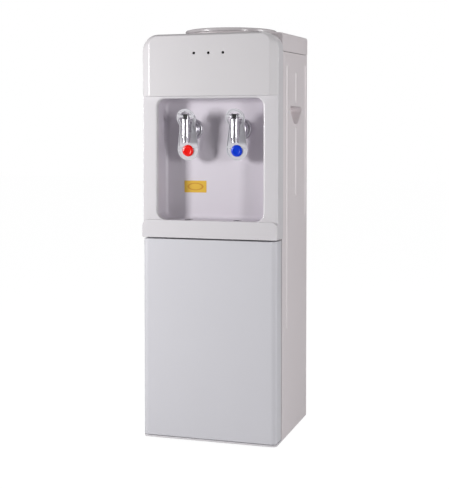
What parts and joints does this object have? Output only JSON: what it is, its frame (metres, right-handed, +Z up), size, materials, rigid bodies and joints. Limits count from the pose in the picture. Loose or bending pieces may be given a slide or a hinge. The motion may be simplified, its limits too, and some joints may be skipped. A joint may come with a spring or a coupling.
{
  "type": "water dispenser",
  "caption": "Free-standing hot and cold water dispenser: bottle seat on top, alcove with push-lever taps over a drip tray, and a cabinet with a hinged door below.",
  "frame": {"origin": "centre of the footprint at floor level, under the feet", "axes": "+Z up, the front with the taps and the door faces -Y, +X is on the right of a person who stands in front and faces the dispenser, so the door's hinges are at -X, on that person's left"},
  "size_m": [0.314, 0.293, 0.9353],
  "materials": {
    "shell": "off-white moulded ABS, satin gloss",
    "panel": "light grey painted sheet steel",
    "collar": "light grey moulded plastic",
    "liner": "off-white moulded ABS",
    "chrome": "bright chrome plating on moulded plastic",
    "lever": "light grey moulded plastic",
    "red": "glossy red cap",
    "blue": "glossy blue cap",
    "dark": "black moulded nylon",
    "rubber": "black rubber",
    "zinc": "zinc-plated steel",
    "inox": "stainless steel",
    "aluminium": "plain aluminium",
    "foam": "rigid insulation foam",
    "silicone": "translucent white silicone and food-grade plastic",
    "lens": "smoked lens"
  },
  "bodies": {
    "body": {"base_plate": "shell", "left_hand_grip": "shell", "right_hand_grip": "shell", "front_fascia": "shell", "top_cover": "shell", "left_side_panel": "panel", "right_side_panel": "panel", "rear_panel": "panel", "mid_deck": "panel", "cabinet_back": "panel", "bottle_collar": "collar", "alcove_liner": "liner", "hot_tap_body": "chrome", "cold_tap_body": "chrome", "hot_tap_nut": "dark", "cold_tap_nut": "dark", "hot_tank_thermostat": "dark", "fan_frame": "dark", "power_supply": "dark", "switch_plate": "dark", "power_inlet": "dark", "foot_front_left": "rubber", "foot_front_right": "rubber", "foot_rear_left": "rubber", "foot_rear_right": "rubber", "lower_hinge_pin": "zinc", "upper_hinge_pin": "zinc", "hot_lever_pin": "zinc", "cold_lever_pin": "zinc", "tank_bracket": "zinc", "heater_band": "zinc", "hot_tap_spring": "inox", "cold_tap_spring": "inox", "cold_tank": "inox", "hot_tank": "inox", "cooling_block": "aluminium", "heat_sink": "aluminium", "cold_tank_foam": "foam", "cold_tank_baffle": "silicone", "cold_hose": "silicone", "hot_hose": "silicone", "feed_hose": "silicone", "power_lamp": "lens", "heating_lamp": "lens", "cooling_lamp": "lens"},
    "door": {"cabinet_door": "shell", "door_inner_panel": "liner", "door_magnet": "dark"},
    "hot_lever": {"hot_tap_lever": "lever", "hot_tap_dot": "red"},
    "cold_lever": {"cold_tap_lever": "lever", "cold_tap_dot": "blue"},
    "hot_stem": {"hot_tap_stem": "dark"},
    "cold_stem": {"cold_tap_stem": "dark"},
    "drip_tray": {"drip_cup": "shell"},
    "drip_tray_cover": {"drip_cover": "liner"},
    "bottle_funnel": {"water_guard": "silicone"},
    "fan": {"fan_rotor": "dark"},
    "heating_rocker": {"heating_switch": "dark"},
    "cooling_rocker": {"cooling_switch": "dark"}
  },
  "joints": [
    {"name": "door_hinge", "type": "hinge", "parent": "body", "child": "door", "pos_m": [-0.147, -0.1062, 0.239], "axis": [0, 0, -1], "range_deg": [0, 95]},
    {"name": "hot_lever_hinge", "type": "hinge", "parent": "body", "child": "hot_lever", "pos_m": [-0.057, -0.1325, 0.735], "axis": [1, 0, 0], "range_deg": [0, 12], "stiffness_Nm_per_rad": 1, "springref_deg": -20.05},
    {"name": "hot_stem_slide", "type": "slide", "parent": "body", "child": "hot_stem", "axis": [0, 0, 1], "range_m": [0, 0.003], "deforming": ["hot_tap_spring"]},
    {"name": "cold_lever_hinge", "type": "hinge", "parent": "body", "child": "cold_lever", "pos_m": [0.057, -0.1325, 0.735], "axis": [1, 0, 0], "range_deg": [0, 12], "stiffness_Nm_per_rad": 1, "springref_deg": -20.05},
    {"name": "cold_stem_slide", "type": "slide", "parent": "body", "child": "cold_stem", "axis": [0, 0, 1], "range_m": [0, 0.003], "deforming": ["cold_tap_spring"]},
    {"name": "drip_tray_slide", "type": "slide", "parent": "body", "child": "drip_tray", "axis": [0, 0, 1], "range_m": [0, 0.06]},
    {"name": "drip_cover_slide", "type": "slide", "parent": "drip_tray", "child": "drip_tray_cover", "axis": [0, 0, 1], "range_m": [0, 0.025]},
    {"name": "bottle_funnel_slide", "type": "slide", "parent": "body", "child": "bottle_funnel", "axis": [0, 0, 1], "range_m": [0, 0.09]},
    {"name": "fan_spin", "type": "hinge", "parent": "body", "child": "fan", "pos_m": [0, 0.1309, 0.76], "axis": [0, 1, 0], "continuous": true},
    {"name": "heating_rocker_hinge", "type": "hinge", "parent": "body", "child": "heating_rocker", "pos_m": [-0.113, 0.1418, 0.8], "axis": [1, 0, 0], "range_deg": [-10, 0]},
    {"name": "cooling_rocker_hinge", "type": "hinge", "parent": "body", "child": "cooling_rocker", "pos_m": [-0.087, 0.1418, 0.8], "axis": [1, 0, 0], "range_deg": [-10, 0]}
  ],
  "couplings": [
    {"joint": "hot_stem_slide", "follows": "hot_lever_hinge", "m_per_rad": 0.013},
    {"joint": "cold_stem_slide", "follows": "cold_lever_hinge", "m_per_rad": 0.013}
  ]
}
